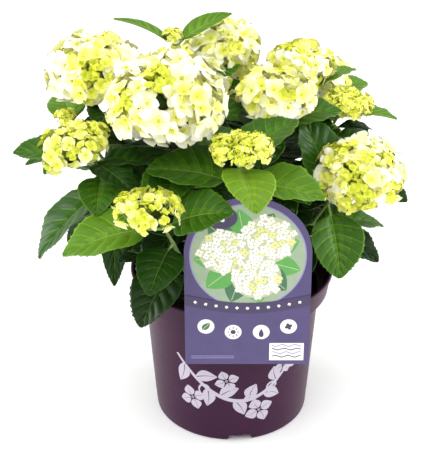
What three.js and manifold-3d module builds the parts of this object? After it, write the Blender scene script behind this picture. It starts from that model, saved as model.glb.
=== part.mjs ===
// A mophead hydrangea in bloom, in a flared plastic pot with a bed card hooked over its rim.
// Millimetres, +Z up. The origin is the middle of the pot's underside, which stands on the ground.
// +X is to the right of the card, and -Y is the side that the card faces.
import * as THREE from "three";
import { mergeVertices } from "three/addons/utils/BufferGeometryUtils.js";
import Module from "manifold-3d";

const wasm = await Module();
wasm.setup();

// Pot: a 23 cm injection-moulded container
const potHeight = 183;
const rimRadius = 115;
const collarFootRadius = 110;
const collarFootZ = 157;
const bodyTopRadius = 100;
const baseRadius = 88.5;
const baseEdgeRound = 3;
const potWall = 2;
const lipThickness = 3;
const lipDepth = 4;
const floorThickness = 8;
const potFacets = 40;
const drainChannels = 3;
const drainChannelWidth = 31;
const drainChannelHeight = 5.5;
const drainChannelInnerRadius = 34;
const frontChannelAngle = -84;
const drainHoleRadius = 5;

// Planting mix
const soilTop = 146;
const soilFacets = 32;

// Bed card, with a tongue that hooks over the rim
const cardWidth = 133;
const cardBottomZ = 124;
const cardTopZ = 326;
const cardCentreX = 15.5;
const cardThickness = 1.2;
const tongueWidth = 26;
const tongueReach = 12.8;

// Canes and stems
const clearGap = 0.3;
const caneFootRadius = 4;
const caneTipRadius = 2.8;
const stemTipRadius = 2.3;
const footFlare = 1.25;
const caneSides = 5;
const caneSteps = 5;
const bendAcross = 0.42;
const bendUp = 0.62;

// Leaves
const leafPairs = 3;
const longShootPairs = 4;
const longShoot = 255;
const pairSpacing = 32;
const stemBelowLeaves = 12;
const leafWidthShare = 0.66;
const leafBend = 34;
const leafFold = 13;
const leafThickness = 1.6;
const petioleShare = 0.15;
const petioleRadius = 1.5;
const leafStations = [0.15, 0.34, 0.58, 0.83];
const swings = [0, 8, -8, 16, -16, 26, -26, 36, -36];
const tilts = [0, -7, 7, -15, 15, -25];
const shortenings = [1, 0.9, 0.78, 0.66];

// Flower heads
const headCover = 118;
const coreShare = 0.86;
const coreSides = 8;
const coreRings = 5;
const floretSpread = 0.49;
const floretDepth = 0.13;
const floretSeat = 0.88;
const goldenAngle = 137.508;

// Each flowering shoot, named for where it stands. foot is its place in the planting mix,
// head is the middle of its flower head, and size is the head's width and height in an
// upright head. tip leans the head that many degrees towards a bearing, 0 being to the right
// and 90 to the back. florets is how many the head has, and drop is how far below the head's
// middle its first pair of leaves stands. turn is the bearing of that pair, and each next pair
// is crossed with the one above it. set gives one leaf its own [bearing, pitch, length].
const shoots = [
  {
    name: "front_left_high",
    foot: [-24, -22],
    head: [-66, -70, 416],
    size: [128, 88],
    florets: 24,
    drop: 54,
    turn: 160,
    leaf: 92,
    set: { "1b": [247, -10, 84] },
  },
  {
    name: "left_high",
    foot: [-46, 6],
    head: [-150, 35, 403],
    size: [104, 82],
    florets: 20,
    drop: 44,
    turn: 260,
    leaf: 84,
    set: { "0a": [259, 0, 64] },
  },
  {
    name: "back_high",
    foot: [-6, 30],
    head: [-14, 100, 407],
    size: [94, 66],
    florets: 18,
    drop: 16,
    turn: 274,
    leaf: 84,
    set: { "0a": [274, 0, 58] },
  },
  {
    name: "right_high",
    foot: [14, -2],
    head: [47, -2, 389],
    size: [96, 58],
    florets: 18,
    drop: 36,
    turn: 190,
    leaf: 80,
    set: { "0a": [190, 32, 52], "1b": [30, 10, 80] },
  },
  {
    name: "back_right_high",
    foot: [28, 28],
    head: [88, 90, 390],
    size: [84, 56],
    florets: 16,
    drop: 34,
    turn: 40,
    leaf: 80,
  },
  {
    name: "right_low",
    foot: [42, -12],
    head: [135, -30, 313],
    size: [106, 86],
    florets: 22,
    drop: 52,
    turn: 286,
    leaf: 84,
    set: { "0a": [286, -56, 84], "1a": [20, -12, 92], "1b": [240, 2, 60] },
  },
  {
    name: "front_bud",
    foot: [4, -40],
    head: [6, -115, 379],
    size: [72, 26],
    florets: 12,
    drop: 24,
    turn: 282,
    leaf: 84,
    set: { "0a": [282, -13, 80], "0b": [60, 18, 84], "1a": [343, -2, 92], "1b": [158, 0, 98] },
  },
  {
    name: "left_bud",
    foot: [-52, -22],
    head: [-164, -60, 356],
    size: [78, 44],
    tip: [180, 30],
    florets: 12,
    drop: 30,
    turn: 184,
    leaf: 88,
    set: { "0a": [184, 11, 86], "0b": [10, -5, 72], "1a": [208, -38, 112], "1b": [276, -18, 76] },
  },
  {
    name: "front_left_bud",
    foot: [-34, -52],
    head: [-83, -150, 329],
    size: [74, 38],
    florets: 12,
    drop: 44,
    turn: 190,
    leaf: 92,
    set: { "0a": [190, -12, 108], "0b": [342, 22, 92], "1a": [250, -22, 72], "2a": [235, -34, 88] },
  },
  {
    name: "right_bud",
    foot: [48, 22],
    head: [128, 60, 359],
    size: [66, 36],
    florets: 11,
    drop: 22,
    turn: 350,
    leaf: 72,
    set: { "0a": [350, 2, 68], "1a": [269, 13, 60], "1b": [352, -12, 84] },
  },
  {
    name: "left_small_bud",
    foot: [-60, 14],
    head: [-184, 42, 346],
    size: [28, 15],
    florets: 6,
    drop: 14,
    turn: 120,
    leaf: 66,
  },
  {
    name: "crown_bud",
    foot: [-22, 16],
    head: [-65, 60, 434],
    size: [26, 15],
    florets: 6,
    drop: 12,
    turn: 165,
    leaf: 76,
    set: { "0a": [165, 20, 76], "0b": [25, 22, 80], "1a": [250, 10, 52] },
  },
  {
    name: "back_left",
    foot: [-34, 44],
    head: [-132, 152, 345],
    size: [92, 60],
    florets: 14,
    drop: 36,
    turn: 130,
    leaf: 90,
  },
  {
    name: "back_low",
    foot: [2, 58],
    head: [6, 182, 322],
    size: [96, 66],
    florets: 15,
    drop: 38,
    turn: 80,
    leaf: 92,
  },
  {
    name: "back_right",
    foot: [36, 52],
    head: [100, 166, 345],
    size: [88, 58],
    florets: 14,
    drop: 36,
    turn: 40,
    leaf: 90,
  },
  {
    name: "left_back_low",
    foot: [-58, 32],
    head: [-176, 112, 277],
    size: [70, 38],
    tip: [150, 30],
    florets: 10,
    drop: 26,
    turn: 200,
    leaf: 86,
  },
  {
    name: "right_back_low",
    foot: [60, 34],
    head: [150, 105, 247],
    size: [72, 40],
    tip: [30, 30],
    florets: 10,
    drop: 26,
    turn: 340,
    leaf: 86,
  },
];

const rad = THREE.MathUtils.degToRad;

// A closed three.js geometry as a solid that can be cut and joined.
function solidOf(geometry) {
  const bare = geometry.clone();
  bare.deleteAttribute("normal");
  bare.deleteAttribute("uv");
  const merged = mergeVertices(bare, 1e-4);
  return new wasm.Manifold(
    new wasm.Mesh({
      numProp: 3,
      vertProperties: new Float32Array(merged.attributes.position.array),
      triVerts: new Uint32Array(merged.index.array),
    }),
  );
}

function geometryOf(solid) {
  const mesh = solid.getMesh();
  const places = new Float32Array(mesh.numVert * 3);
  for (let i = 0; i < mesh.numVert; i++) {
    places.set(mesh.vertProperties.subarray(i * mesh.numProp, i * mesh.numProp + 3), i * 3);
  }
  const geometry = new THREE.BufferGeometry();
  geometry.setAttribute("position", new THREE.BufferAttribute(places, 3));
  geometry.setIndex(new THREE.BufferAttribute(new Uint32Array(mesh.triVerts), 1));
  return geometry;
}

// Turns a closed profile of [radius, height] points round the vertical axis.
function turned(profile, facets) {
  const points = profile.map(([r, z]) => new THREE.Vector2(r, z));
  return solidOf(new THREE.LatheGeometry(points, facets).rotateX(Math.PI / 2));
}

const bodyRadiusAt = (z) => baseRadius + ((bodyTopRadius - baseRadius) * z) / collarFootZ;
const collarRadiusAt = (z) =>
  collarFootRadius +
  ((rimRadius - lipThickness + potWall - collarFootRadius) * (z - collarFootZ)) / (potHeight - collarFootZ);

function makePot() {
  const ledgeZ = collarFootZ + potWall;
  const lipZ = potHeight - lipDepth;
  let pot = turned(
    [
      [0, 0],
      [baseRadius - baseEdgeRound, 0],
      [baseRadius, baseEdgeRound],
      [bodyTopRadius, collarFootZ],
      [collarFootRadius, collarFootZ],
      [collarRadiusAt(lipZ), lipZ],
      [rimRadius, lipZ],
      [rimRadius, potHeight - 1],
      [rimRadius - 1, potHeight],
      [rimRadius - lipThickness, potHeight],
      [collarRadiusAt(ledgeZ) - potWall, ledgeZ],
      [bodyRadiusAt(ledgeZ) - potWall, ledgeZ],
      [bodyRadiusAt(floorThickness) - potWall, floorThickness],
      [0, floorThickness],
      [0, 0],
    ],
    potFacets,
  );
  const channel = new THREE.Shape([
    new THREE.Vector2(-drainChannelWidth / 2, -1),
    new THREE.Vector2(drainChannelWidth / 2, -1),
    new THREE.Vector2(drainChannelWidth / 2 - 4, drainChannelHeight),
    new THREE.Vector2(-drainChannelWidth / 2 + 4, drainChannelHeight),
  ]);
  for (let i = 0; i < drainChannels; i++) {
    const angle = rad(frontChannelAngle + (360 / drainChannels) * i);
    const length = baseRadius + 10 - drainChannelInnerRadius;
    const bar = new THREE.ExtrudeGeometry(channel, { depth: length, bevelEnabled: false })
      .rotateX(Math.PI / 2)
      .rotateZ(Math.PI / 2)
      .translate(drainChannelInnerRadius, 0, 0)
      .rotateZ(angle);
    const hole = new THREE.CylinderGeometry(drainHoleRadius, drainHoleRadius, 3 * floorThickness, 12)
      .rotateX(Math.PI / 2)
      .translate((drainChannelInnerRadius + baseRadius) / 2, 0, 0)
      .rotateZ(angle);
    pot = pot.subtract(solidOf(bar)).subtract(solidOf(hole));
  }
  return pot;
}

// The planting mix stays clear of the pot's wall and floor.
function makeSoil() {
  const flats = Math.cos(Math.PI / soilFacets);
  const radiusAt = (z) => (bodyRadiusAt(z) - potWall) * flats - clearGap;
  const bottom = floorThickness + clearGap;
  return turned(
    [
      [0, bottom],
      [radiusAt(bottom), bottom],
      [radiusAt(soilTop), soilTop],
      [0, soilTop],
      [0, bottom],
    ],
    soilFacets,
  );
}

// The card stands in front of the rim. Its top is a half circle, and its tongue goes over the rim.
function makeCard() {
  const half = cardWidth / 2;
  const backY = -rimRadius - clearGap;
  const outline = new THREE.Shape();
  outline.moveTo(-half, cardBottomZ);
  outline.lineTo(half, cardBottomZ);
  outline.lineTo(half, cardTopZ - half);
  outline.absarc(0, cardTopZ - half, half, 0, Math.PI, false);
  outline.lineTo(-half, cardBottomZ);
  const face = new THREE.ExtrudeGeometry(outline, {
    depth: cardThickness,
    bevelEnabled: false,
    curveSegments: 20,
  });
  const card = solidOf(face.rotateX(Math.PI / 2).translate(cardCentreX, backY, 0));
  const overZ = potHeight + clearGap;
  const hookTopZ = overZ + cardThickness;
  const hookEndZ = collarFootZ + potWall + clearGap;
  const bridge = new THREE.BoxGeometry(tongueWidth, tongueReach + 0.5, cardThickness).translate(
    cardCentreX,
    backY + (tongueReach - 0.5) / 2,
    overZ + cardThickness / 2,
  );
  const tail = new THREE.BoxGeometry(tongueWidth, cardThickness, hookTopZ - hookEndZ).translate(
    cardCentreX,
    backY + tongueReach - cardThickness / 2,
    (hookTopZ + hookEndZ) / 2,
  );
  return card.add(solidOf(bridge)).add(solidOf(tail));
}

// The line that a shoot follows: out of the mix, then leaning over to its flower head.
function shootCurve(shoot) {
  const foot = new THREE.Vector3(...shoot.foot, soilTop + clearGap);
  const head = new THREE.Vector3(...shoot.head);
  const bend = new THREE.Vector3(
    foot.x + (head.x - foot.x) * bendAcross,
    foot.y + (head.y - foot.y) * bendAcross,
    foot.z + (head.z - foot.z) * bendUp,
  );
  return new THREE.QuadraticBezierCurve3(foot, bend, head);
}

// A round bar along a stretch of a curve, with a radius for each of its two ends.
// A bar that stands on the mix is flared and cut level at its foot.
function limb(curve, start, end, startRadius, endRadius) {
  const bar = new THREE.CylinderGeometry(1, 1, 1, caneSides, caneSteps).rotateX(Math.PI / 2);
  const places = bar.attributes.position;
  for (let i = 0; i < places.count; i++) {
    const along = places.getZ(i) + 0.5;
    const share = start + (end - start) * along;
    const atFoot = share === 0;
    const radius = atFoot ? startRadius * footFlare : startRadius + (endRadius - startRadius) * along;
    const heading = atFoot ? new THREE.Vector3(0, 0, 1) : curve.getTangentAt(share);
    const side = new THREE.Vector3(heading.z, 0, -heading.x).normalize();
    const other = heading.clone().cross(side);
    const point = curve
      .getPointAt(share)
      .addScaledVector(side, places.getX(i) * radius)
      .addScaledVector(other, places.getY(i) * radius);
    places.setXYZ(i, ...point);
  }
  return solidOf(bar);
}

// Half a leaf's width at a share of its length: a thin stalk, then an oval blade drawn out to a tip.
function leafHalfWidth(share, length) {
  if (share <= petioleShare) return petioleRadius;
  const blade = (share - petioleShare) / (1 - petioleShare);
  const oval = (x) => Math.pow(x, 0.62) * Math.pow(1 - x, 0.93);
  return petioleRadius + ((length * leafWidthShare) / 2) * (oval(blade) / oval(0.4));
}

// A leaf that grows from its root, with its midrib bent down evenly and its halves folded up.
function leafSolid(root, { bearing, pitch, length, roll }) {
  const blade = new THREE.SphereGeometry(1, 4, leafStations.length + 1);
  const places = blade.attributes.position;
  const stations = [0, ...leafStations, 1];
  const bend = rad(leafBend);
  const first = rad(pitch) + bend / 2;
  const out = new THREE.Vector3(Math.cos(rad(bearing)), Math.sin(rad(bearing)), 0);
  const side = new THREE.Vector3(-out.y, out.x, 0);
  for (let i = 0; i < places.count; i++) {
    const latitude = Math.acos(THREE.MathUtils.clamp(places.getY(i), -1, 1)) / Math.PI;
    const share = stations[Math.round(latitude * (stations.length - 1))];
    const ring = Math.hypot(places.getX(i), places.getZ(i));
    const across = ring > 1e-6 ? places.getX(i) / ring : 0;
    const above = ring > 1e-6 ? places.getZ(i) / ring : 0;
    const half = share < 1 ? leafHalfWidth(share, length) : 0;
    const isBlade = share > petioleShare;
    const fold = isBlade ? rad(leafFold) : 0;
    const twist = isBlade ? rad(roll) * Math.sign(across) : 0;
    const lift = Math.abs(across) * half * Math.sin(fold + twist) + above * (leafThickness / 2);
    const angle = first - bend * share;
    const run = (length * (Math.sin(first) - Math.sin(angle))) / bend;
    const rise = (length * (Math.cos(angle) - Math.cos(first))) / bend;
    const point = root
      .clone()
      .addScaledVector(out, run - lift * Math.sin(angle))
      .addScaledVector(side, across * half * Math.cos(fold + twist));
    places.setXYZ(i, point.x, point.y, point.z + rise + lift * Math.cos(angle));
  }
  return solidOf(blade);
}

// A seeded run of numbers between 0 and 1.
function diceOf(seed) {
  let state = seed;
  return () => {
    state = (state * 16807) % 2147483647;
    return state / 2147483647;
  };
}

// Crossed pairs of leaves, each pair lower on the shoot than the last, more drooping and larger.
// The leaves on the outer side of the plant are longer than those that face its middle.
function leavesOf(shoot, length, seed) {
  const dice = diceOf(seed);
  const outward = Math.atan2(shoot.head[1], shoot.head[0]);
  const leaves = [];
  for (let pair = 0; pair < (length > longShoot ? longShootPairs : leafPairs); pair++) {
    for (const side of [0, 1]) {
      const [swing, tilt, stretch, twist] = [0, 0, 0, 0].map(() => dice() * 2 - 1);
      const turn = shoot.turn + 90 * pair + 180 * side + swing * 9;
      const outer = (1 + Math.cos(rad(turn) - outward)) / 2;
      const own = shoot.set?.[pair + "ab"[side]];
      const [bearing, pitch, reach] = own ?? [
        turn,
        6 - 14 * pair + tilt * 7,
        shoot.leaf * (0.72 + 0.3 * outer + 0.06 * pair + stretch * 0.05),
      ];
      const drop = shoot.drop + pairSpacing * pair;
      leaves.push({ own: Boolean(own), drop, bearing, pitch, length: reach, roll: twist * 10 });
    }
  }
  return leaves;
}

// The turns that a leaf takes out of another's way, the smallest first.
const nudgeCost = ({ swing, tilt, share }) => Math.abs(swing) + Math.abs(tilt) + 120 * (1 - share);
const nudges = swings
  .flatMap((swing) => tilts.flatMap((tilt) => shortenings.map((share) => ({ swing, tilt, share }))))
  .sort((a, b) => nudgeCost(a) - nudgeCost(b));

// The flower head: a domed core with florets standing out of it in a sunflower spiral.
function flowerHead(shoot) {
  const [width, height] = shoot.size;
  const reach = new THREE.Vector3(width / 2, width / 2, height / 2);
  const core = new THREE.SphereGeometry(coreShare, coreSides, coreRings);
  let head = solidOf(core.rotateX(Math.PI / 2).scale(...reach));
  const lowest = Math.cos(rad(headCover));
  const area = (2 * Math.PI * (1 - lowest) * reach.x * (reach.x + 2 * reach.z)) / 3;
  const spacing = Math.sqrt(area / shoot.florets);
  for (let i = 0; i < shoot.florets; i++) {
    const up = 1 - (1 - lowest) * ((i + 0.5) / shoot.florets);
    const around = rad(goldenAngle * i);
    const flat = Math.sqrt(1 - up * up);
    const direction = new THREE.Vector3(Math.cos(around) * flat, Math.sin(around) * flat, up);
    const normal = direction.clone().divide(reach).normalize();
    const floret = new THREE.OctahedronGeometry(1)
      .rotateY(around * 1.7)
      .scale(spacing * floretSpread, floretDepth * reach.x, spacing * floretSpread)
      .applyQuaternion(new THREE.Quaternion().setFromUnitVectors(new THREE.Vector3(0, 1, 0), normal))
      .translate(...direction.multiply(reach).multiplyScalar(floretSeat));
    head = head.add(solidOf(floret));
  }
  const [tipBearing, tipAngle] = shoot.tip ?? [0, 0];
  return head
    .rotate([0, 0, -tipBearing])
    .rotate([0, tipAngle, 0])
    .rotate([0, 0, tipBearing])
    .translate(shoot.head);
}

function largestPiece(solid) {
  return solid.decompose().reduce((big, piece) => (piece.volume() > big.volume() ? piece : big));
}

const finishes = {
  pot: { color: 0x4a2a4a, roughness: 0.42, metalness: 0 },
  soil: { color: 0x2a1f18, roughness: 0.95, metalness: 0 },
  card: { color: 0x54478a, roughness: 0.35, metalness: 0 },
  stem: { color: 0x6c8a48, roughness: 0.6, metalness: 0 },
  foliage: { color: 0x4f8a2e, roughness: 0.5, metalness: 0 },
};
const materials = Object.fromEntries(
  Object.entries(finishes).map(([name, finish]) => [name, new THREE.MeshStandardMaterial(finish)]),
);

const plant = new THREE.Group();
const filled = [];

function addNode(name, solid, finish) {
  const mesh = new THREE.Mesh(geometryOf(solid), materials[finish]);
  mesh.name = name;
  plant.add(mesh);
}

function fill(solid, owner) {
  filled.push({ solid, owner, box: solid.boundingBox() });
}

// What the pot, the card, a cane or another shoot fills stays clear of a new leaf.
function isFree(solid, owner) {
  const box = solid.boundingBox();
  const boxesMeet = (other) =>
    [0, 1, 2].every((k) => box.min[k] - clearGap <= other.max[k] && other.min[k] - clearGap <= box.max[k]);
  return !filled.some(
    (other) =>
      other.owner !== owner && boxesMeet(other.box) && solid.minGap(other.solid, 2 * clearGap) < clearGap,
  );
}

// The leaf in the first place where it is free, starting from its own.
function firstFree(root, leaf, owner) {
  for (const { swing, tilt, share } of nudges) {
    const solid = leafSolid(root, {
      bearing: leaf.bearing + swing,
      pitch: leaf.pitch + tilt,
      length: leaf.length * share,
      roll: leaf.roll,
    });
    if (isFree(solid, owner)) return solid;
  }
  return null;
}

const fixedParts = [
  ["pot", makePot(), "pot"],
  ["soil", makeSoil(), "soil"],
  ["bed_card", makeCard(), "card"],
];
for (const [name, solid, finish] of fixedParts) {
  addNode(name, solid, finish);
  fill(solid, name);
}

// Each cane stops below its lowest leaves, and the shoot's own stem goes on from there.
const growing = shoots.map((shoot, index) => {
  const curve = shootCurve(shoot);
  const length = curve.getLength();
  const leaves = leavesOf(shoot, length, 101 + 37 * index);
  const caneEnd = 1 - (leaves.at(-1).drop + stemBelowLeaves) / length;
  const cane = limb(curve, 0, caneEnd, caneFootRadius, caneTipRadius);
  const stem = limb(curve, caneEnd + clearGap / length, 1, caneTipRadius, stemTipRadius);
  const head = flowerHead(shoot);
  fill(cane, `cane_${shoot.name}`);
  fill(stem, shoot.name);
  fill(head, shoot.name);
  return { shoot, curve, length, leaves, cane, mass: stem.add(head) };
});

// The leaves with places of their own come first, and then the rest find room among them.
// A leaf that finds no free place is left out.
for (const hasOwnPlace of [true, false]) {
  for (const growth of growing) {
    for (const leaf of growth.leaves.filter(({ own }) => own === hasOwnPlace)) {
      const root = growth.curve.getPointAt(1 - leaf.drop / growth.length);
      const solid = firstFree(root, leaf, growth.shoot.name);
      if (!solid) continue;
      fill(solid, growth.shoot.name);
      growth.mass = growth.mass.add(solid);
    }
  }
}

for (const { shoot, cane, mass } of growing) {
  addNode(`cane_${shoot.name}`, cane, "stem");
  addNode(`foliage_${shoot.name}`, largestPiece(mass), "foliage");
}

export default plant;
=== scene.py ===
from math import atan2, cos, degrees, exp, hypot, pi, radians, sin, sqrt

import bpy
import numpy as np
from mathutils import Matrix, Vector
from mathutils.kdtree import KDTree


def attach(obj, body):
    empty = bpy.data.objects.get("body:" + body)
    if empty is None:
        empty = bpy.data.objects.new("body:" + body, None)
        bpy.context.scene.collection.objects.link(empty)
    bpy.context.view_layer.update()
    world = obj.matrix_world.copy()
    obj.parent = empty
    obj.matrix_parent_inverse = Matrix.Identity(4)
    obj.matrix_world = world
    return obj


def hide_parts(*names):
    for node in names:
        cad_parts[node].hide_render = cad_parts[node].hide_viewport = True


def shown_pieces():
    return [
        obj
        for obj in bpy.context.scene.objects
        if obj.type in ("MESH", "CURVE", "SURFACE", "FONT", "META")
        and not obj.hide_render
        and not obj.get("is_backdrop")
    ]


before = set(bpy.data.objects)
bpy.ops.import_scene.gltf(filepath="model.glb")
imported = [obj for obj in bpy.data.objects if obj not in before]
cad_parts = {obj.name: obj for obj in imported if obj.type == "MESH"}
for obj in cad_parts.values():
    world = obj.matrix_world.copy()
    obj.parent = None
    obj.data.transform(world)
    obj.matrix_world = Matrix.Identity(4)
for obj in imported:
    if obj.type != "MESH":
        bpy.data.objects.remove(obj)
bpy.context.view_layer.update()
mm = 0.001
goldenAngle = 137.508


def linear(hexColour):
    # an sRGB hex colour as Blender's linear values
    parts = [int(hexColour[i : i + 2], 16) / 255 for i in (1, 3, 5)]
    return tuple(c / 12.92 if c <= 0.04045 else ((c + 0.055) / 1.055) ** 2.4 for c in parts) + (1,)


def blendHex(first, second, share):
    # share of the second colour in the first
    parts = [(int(first[i : i + 2], 16), int(second[i : i + 2], 16)) for i in (1, 3, 5)]
    return "#" + "".join("%02x" % round(a + (b - a) * share) for a, b in parts)


def diceOf(seed):
    # the same seeded run of numbers as in the part's source
    state = seed

    def roll():
        nonlocal state
        state = (state * 16807) % 2147483647
        return state / 2147483647

    return roll


def surfaceOf(material):
    return material.node_tree.nodes["Principled BSDF"]


def newFinish(name, colour, roughness, ior=1.45, specular=0.5, **more):
    # a plain dielectric finish; patterned ones are built on it
    material = bpy.data.materials.new(name)
    material.use_nodes = True
    material.diffuse_color = linear(colour)
    values = {"Base Color": linear(colour), "Roughness": roughness, "IOR": ior,
              "Specular IOR Level": specular}
    for key, value in (values | more).items():
        surfaceOf(material).inputs[key].default_value = value
    return material


def addNode(material, kind, settings, links):
    # one shader node with its settings (its own or its sockets') and the links into it
    made = material.node_tree.nodes.new("ShaderNode" + kind)
    for key, value in settings.items():
        if isinstance(key, int) or key in made.inputs:
            made.inputs[key].default_value = value
        else:
            setattr(made, key, value)
    for key, source in links.items():
        material.node_tree.links.new(source, made.inputs[key])
    return made


def intoSurface(material, source, socket):
    material.node_tree.links.new(source, surfaceOf(material).inputs[socket])


def noiseOn(material, scale, detail, roughness=0.5, stretch=None):
    # noise over the object's own metres; scale 100 gives grains about 10 mm wide
    place = addNode(material, "TexCoord", {}, {}).outputs["Object"]
    if stretch:
        place = addNode(material, "Mapping", {"Scale": stretch}, {"Vector": place}).outputs[0]
    settings = {"Scale": scale, "Detail": detail, "Roughness": roughness}
    return addNode(material, "TexNoise", settings, {"Vector": place}).outputs["Fac"]


def mottle(material, noise, first, second):
    # two tones mixed by the noise
    tones = {"data_type": "RGBA", 6: linear(first), 7: linear(second)}
    intoSurface(material, addNode(material, "Mix", tones, {0: noise}).outputs[2], "Base Color")


def streak(material, noise, dark, pale):
    # the colour and place of a dark and a pale stop over the noise
    ramp = addNode(material, "ValToRGB", {}, {"Fac": noise})
    for stop, (colour, position) in zip(ramp.color_ramp.elements, (dark, pale)):
        stop.color, stop.position = linear(colour), position
    intoSurface(material, ramp.outputs["Color"], "Base Color")


def emboss(material, noise, strength, distance):
    settings = {"Strength": strength, "Distance": distance}
    bump = addNode(material, "Bump", settings, {"Height": noise})
    intoSurface(material, bump.outputs["Normal"], "Normal")


def deselectAll():
    bpy.ops.object.select_all(action="DESELECT")


def pick(thing):
    deselectAll()
    thing.select_set(True)
    bpy.context.view_layer.objects.active = thing


def settle(thing, name):
    # the finished piece's place goes into its mesh
    pick(thing)
    bpy.ops.object.transform_apply(location=True, rotation=True, scale=True)
    thing.name = name
    thing.data.name = name
    return thing


def newObject(name, data, place=(0, 0, 0), turn=(0, 0, 0)):
    made = bpy.data.objects.new(name, data)
    made.location = place
    made.rotation_euler = [radians(angle) for angle in turn]
    bpy.context.scene.collection.objects.link(made)
    return made


def dress(thing, finishes, nodes):
    thing.data.materials.clear()
    for finish in finishes:
        thing.data.materials.append(finish)
    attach(thing, "root")
    if nodes:
        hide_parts(*nodes)
    thing.data.calc_loop_triangles()
    print("piece", thing.name, len(thing.data.loop_triangles), "triangles")


# many small things are gathered in one batch and become one joined mesh
def newBatch():
    return {"places": [], "faces": [], "finishes": [], "count": 0}


def addMesh(batch, places, faces, finishes):
    # places in mm; finishes is one number or one for each face
    start = batch["count"]
    batch["places"].append(np.asarray(places, float) * mm)
    batch["faces"].extend([tuple(i + start for i in face) for face in faces])
    batch["finishes"].extend([finishes] * len(faces) if isinstance(finishes, int) else finishes)
    batch["count"] += len(places)


def joinedPiece(batch, name, finishes, nodes, smooth=True):
    mesh = bpy.data.meshes.new(name)
    mesh.from_pydata(np.concatenate(batch["places"]).tolist(), [], batch["faces"])
    mesh.polygons.foreach_set("use_smooth", [smooth] * len(mesh.polygons))
    dress(newObject(name, mesh), finishes, nodes)
    mesh.polygons.foreach_set("material_index", batch["finishes"])
    mesh.update()


def unit(way):
    return way / np.linalg.norm(way)


def turnUpright(angle):
    c, s = cos(angle), sin(angle)
    return np.array([[c, -s, 0], [s, c, 0], [0, 0, 1]])


def leanAside(angle):
    c, s = cos(angle), sin(angle)
    return np.array([[c, 0, s], [0, 1, 0], [-s, 0, c]])


def domeDirections(count, lowest):
    # evenly spread directions over a dome, in the sunflower spiral of the source
    ups = [1 - (1 - lowest) * ((i + 0.5) / count) for i in range(count)]
    turns = [radians(goldenAngle * i) for i in range(count)]
    flats = [sqrt(1 - up * up) for up in ups]
    return [np.array([cos(turn) * flat, sin(turn) * flat, up])
            for turn, flat, up in zip(turns, flats, ups)]


def addTube(batch, centres, radii, sides, finish, closeEnd=True):
    # a round tube along the points
    centres = np.asarray(centres, float)
    ways = np.gradient(centres, axis=0)
    ways /= np.linalg.norm(ways, axis=1)[:, None]
    up = np.array([0, 0, 1.0]) if abs(ways[0][2]) < 0.9 else np.array([0, 1.0, 0])
    places, faces = [], []
    for centre, way, radius in zip(centres, ways, radii):
        side = unit(np.cross(up, way))
        other = np.cross(way, side)
        for k in range(sides):
            a = 2 * pi * k / sides
            places.append(centre + radius * (cos(a) * side + sin(a) * other))
    for i in range(len(centres) - 1):
        for k in range(sides):
            n, low, high = (k + 1) % sides, i * sides, (i + 1) * sides
            faces.append((low + k, low + n, high + n, high + k))
    faces.append(tuple(range(sides))[::-1])
    if closeEnd:
        faces.append(tuple(range((len(centres) - 1) * sides, len(centres) * sides)))
    addMesh(batch, places, faces, finish)


# camera, floor and light
view = {"place": (-0.0135, -1.3, 0.924), "tilt": 61.88, "lens": 103.85, "far": 50}
cameraData = bpy.data.cameras.new("camera")
cameraData.lens = view["lens"]
cameraData.clip_end = view["far"]
bpy.context.scene.camera = newObject("camera", cameraData, view["place"], (view["tilt"], 0, 0))

deselectAll()
bpy.ops.mesh.primitive_plane_add(size=14, location=(0, 0, 0))
floor = settle(bpy.context.object, "floor")
floor.data.materials.append(newFinish("whitePaperSweep", "#fbfbfb", 0.9))
floor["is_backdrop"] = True

light = {"sky": 1.08, "sun": 1.0, "softness": 55, "turn": (32, 0, -26), "panelSize": 0.9,
         "panelPower": 18}
for side in (-1, 1):
    panelData = bpy.data.lights.new("side panel", "AREA")
    panelData.size = light["panelSize"]
    panelData.energy = light["panelPower"]
    newObject("side panel", panelData, (1.5 * side, 0.35, 0.5), (0, 90 * side, -13 * side))
world = bpy.data.worlds.new("studio")
world.use_nodes = True
world.node_tree.nodes["Background"].inputs["Color"].default_value = (1, 1, 1, 1)
world.node_tree.nodes["Background"].inputs["Strength"].default_value = light["sky"]
bpy.context.scene.world = world
sunData = bpy.data.lights.new("softbox", "SUN")
sunData.energy = light["sun"]
sunData.angle = radians(light["softness"])
newObject("softbox", sunData, turn=light["turn"])
bpy.context.scene.view_settings.view_transform = "Standard"
print("camera, floor and light ready")

# pot, in mm
pot = {
    "facets": 112, "height": 183, "rim": 115, "collarFoot": 110, "collarFootZ": 157,
    "bodyTop": 100, "base": 88.5, "wall": 2, "lip": 3, "lipDepth": 4, "floor": 8, "channels": 3,
    "channelWidth": 31, "channelTaper": 8, "channelHeight": 7.3, "channelInner": 34,
    "frontChannel": -84, "drainHole": 5, "smoothUnder": 32,
}


def bodyRadius(z):
    return pot["base"] + (pot["bodyTop"] - pot["base"]) * z / pot["collarFootZ"]


def collarRadius(z):
    foot, top = pot["collarFoot"], pot["rim"] - pot["lip"] + pot["wall"]
    return foot + (top - foot) * (z - pot["collarFootZ"]) / (pot["height"] - pot["collarFootZ"])


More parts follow.
